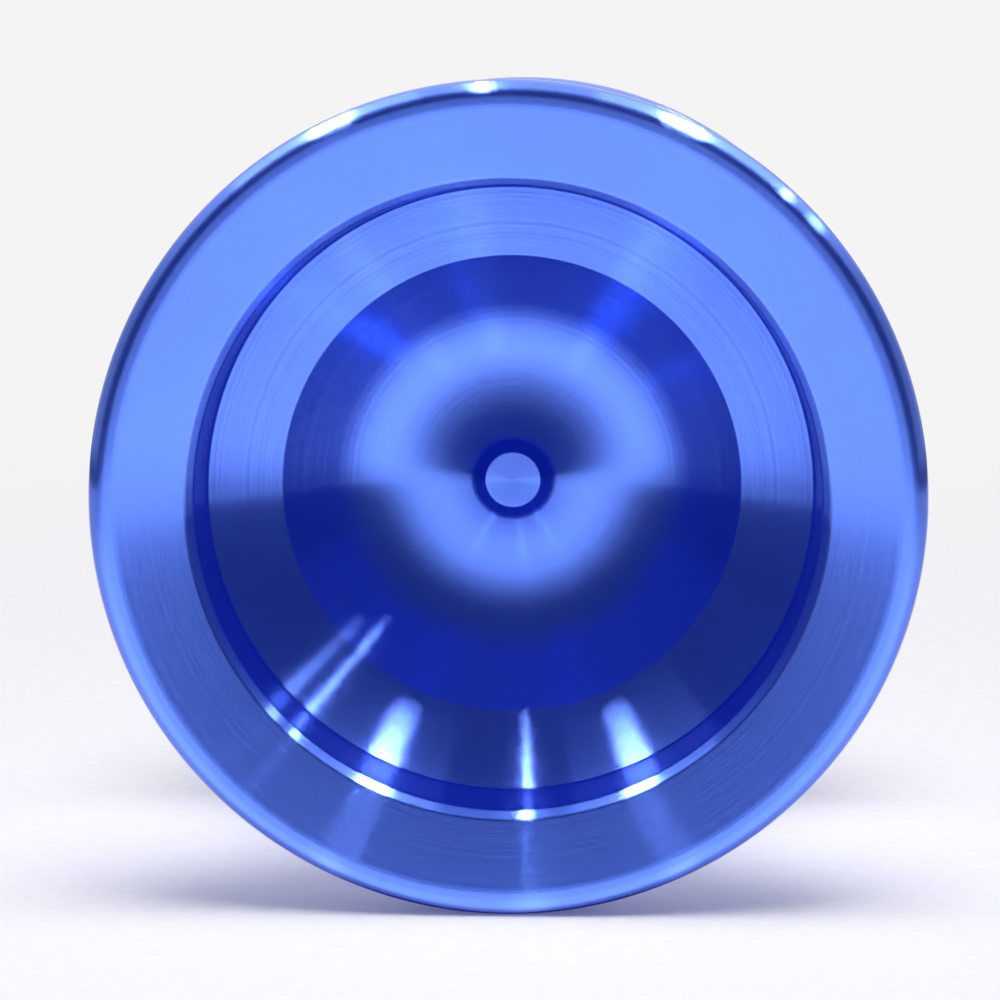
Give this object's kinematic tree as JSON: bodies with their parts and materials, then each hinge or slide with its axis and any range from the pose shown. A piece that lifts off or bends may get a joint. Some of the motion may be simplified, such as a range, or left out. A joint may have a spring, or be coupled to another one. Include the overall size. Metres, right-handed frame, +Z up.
{
  "type": "yo-yo",
  "caption": "Wide modern metal yo-yo with two anodised cupped halves screwed on one axle, a shielded ball bearing between silicone response pads, and a wound string.",
  "frame": {"origin": "middle of the axle, on the plane halfway between the two halves", "axes": "+Y along the axle from the front half towards the back half, +Z up when the yo-yo stands on its rims, +X to the right seen from the front"},
  "size_m": [0.056, 0.044, 0.056],
  "materials": {
    "anodised": "fine turned, blue anodised, semi-gloss",
    "axle_steel": "zinc-plated thread, dull",
    "bearing_steel": "ground and polished bearing steel",
    "ball_steel": "mirror polished steel",
    "cage": "machined",
    "shield_steel": "pressed sheet",
    "spring_steel": "drawn wire",
    "silicone": "matte cast silicone",
    "string_yarn": "twisted polyester yarn"
  },
  "bodies": {
    "rotor": {"front_half": "anodised", "axle": "axle_steel", "bearing_inner_ring": "bearing_steel", "front_response_pad": "silicone"},
    "outer_race": {"bearing_outer_ring": "bearing_steel", "front_shield": "shield_steel", "back_shield": "shield_steel", "front_snap_ring": "spring_steel", "back_snap_ring": "spring_steel", "string": "string_yarn"},
    "cage": {"bearing_cage": "cage"},
    "ball_01": {"ball_01": "ball_steel"},
    "ball_02": {"ball_02": "ball_steel"},
    "ball_03": {"ball_03": "ball_steel"},
    "ball_04": {"ball_04": "ball_steel"},
    "ball_05": {"ball_05": "ball_steel"},
    "ball_06": {"ball_06": "ball_steel"},
    "ball_07": {"ball_07": "ball_steel"},
    "ball_08": {"ball_08": "ball_steel"},
    "ball_09": {"ball_09": "ball_steel"},
    "ball_10": {"ball_10": "ball_steel"},
    "back_pad": {"back_response_pad": "silicone"},
    "back_half": {"back_half": "anodised"}
  },
  "joints": [
    {"name": "bearing_spin", "type": "hinge", "parent": "rotor", "child": "outer_race", "pos_m": [0, 0, 0], "axis": [0, 1, 0], "continuous": true},
    {"name": "cage_orbit", "type": "hinge", "parent": "rotor", "child": "cage", "pos_m": [0, 0, 0], "axis": [0, 1, 0], "continuous": true},
    {"name": "ball_roll_01", "type": "hinge", "parent": "cage", "child": "ball_01", "pos_m": [0.00476, 0, 0], "axis": [0, 1, 0], "continuous": true},
    {"name": "ball_roll_02", "type": "hinge", "parent": "cage", "child": "ball_02", "pos_m": [0.00385, 0, 0.0028], "axis": [0, 1, 0], "continuous": true},
    {"name": "ball_roll_03", "type": "hinge", "parent": "cage", "child": "ball_03", "pos_m": [0.00147, 0, 0.00453], "axis": [0, 1, 0], "continuous": true},
    {"name": "ball_roll_04", "type": "hinge", "parent": "cage", "child": "ball_04", "pos_m": [-0.00147, 0, 0.00453], "axis": [0, 1, 0], "continuous": true},
    {"name": "ball_roll_05", "type": "hinge", "parent": "cage", "child": "ball_05", "pos_m": [-0.00385, 0, 0.0028], "axis": [0, 1, 0], "continuous": true},
    {"name": "ball_roll_06", "type": "hinge", "parent": "cage", "child": "ball_06", "pos_m": [-0.00476, 0, 0], "axis": [0, 1, 0], "continuous": true},
    {"name": "ball_roll_07", "type": "hinge", "parent": "cage", "child": "ball_07", "pos_m": [-0.00385, 0, -0.0028], "axis": [0, 1, 0], "continuous": true},
    {"name": "ball_roll_08", "type": "hinge", "parent": "cage", "child": "ball_08", "pos_m": [-0.00147, 0, -0.00453], "axis": [0, 1, 0], "continuous": true},
    {"name": "ball_roll_09", "type": "hinge", "parent": "cage", "child": "ball_09", "pos_m": [0.00147, 0, -0.00453], "axis": [0, 1, 0], "continuous": true},
    {"name": "ball_roll_10", "type": "hinge", "parent": "cage", "child": "ball_10", "pos_m": [0.00385, 0, -0.0028], "axis": [0, 1, 0], "continuous": true},
    {"name": "back_half_travel", "type": "slide", "parent": "rotor", "child": "back_pad", "axis": [0, 1, 0], "range_m": [0, 0.00561]},
    {"name": "back_half_turn", "type": "hinge", "parent": "back_pad", "child": "back_half", "pos_m": [0, 0, 0], "axis": [0, 1, 0], "range_deg": [0, 2880]}
  ],
  "couplings": [
    {"joint": "cage_orbit", "follows": "bearing_spin", "ratio": 0.58336},
    {"joint": "ball_roll_01", "follows": "bearing_spin", "ratio": 2.9157},
    {"joint": "ball_roll_02", "follows": "bearing_spin", "ratio": 2.9157},
    {"joint": "ball_roll_03", "follows": "bearing_spin", "ratio": 2.9157},
    {"joint": "ball_roll_04", "follows": "bearing_spin", "ratio": 2.9157},
    {"joint": "ball_roll_05", "follows": "bearing_spin", "ratio": 2.9157},
    {"joint": "ball_roll_06", "follows": "bearing_spin", "ratio": 2.9157},
    {"joint": "ball_roll_07", "follows": "bearing_spin", "ratio": 2.9157},
    {"joint": "ball_roll_08", "follows": "bearing_spin", "ratio": 2.9157},
    {"joint": "ball_roll_09", "follows": "bearing_spin", "ratio": 2.9157},
    {"joint": "ball_roll_10", "follows": "bearing_spin", "ratio": 2.9157},
    {"joint": "back_half_travel", "follows": "back_half_turn", "m_per_rad": 0.00011141}
  ]
}
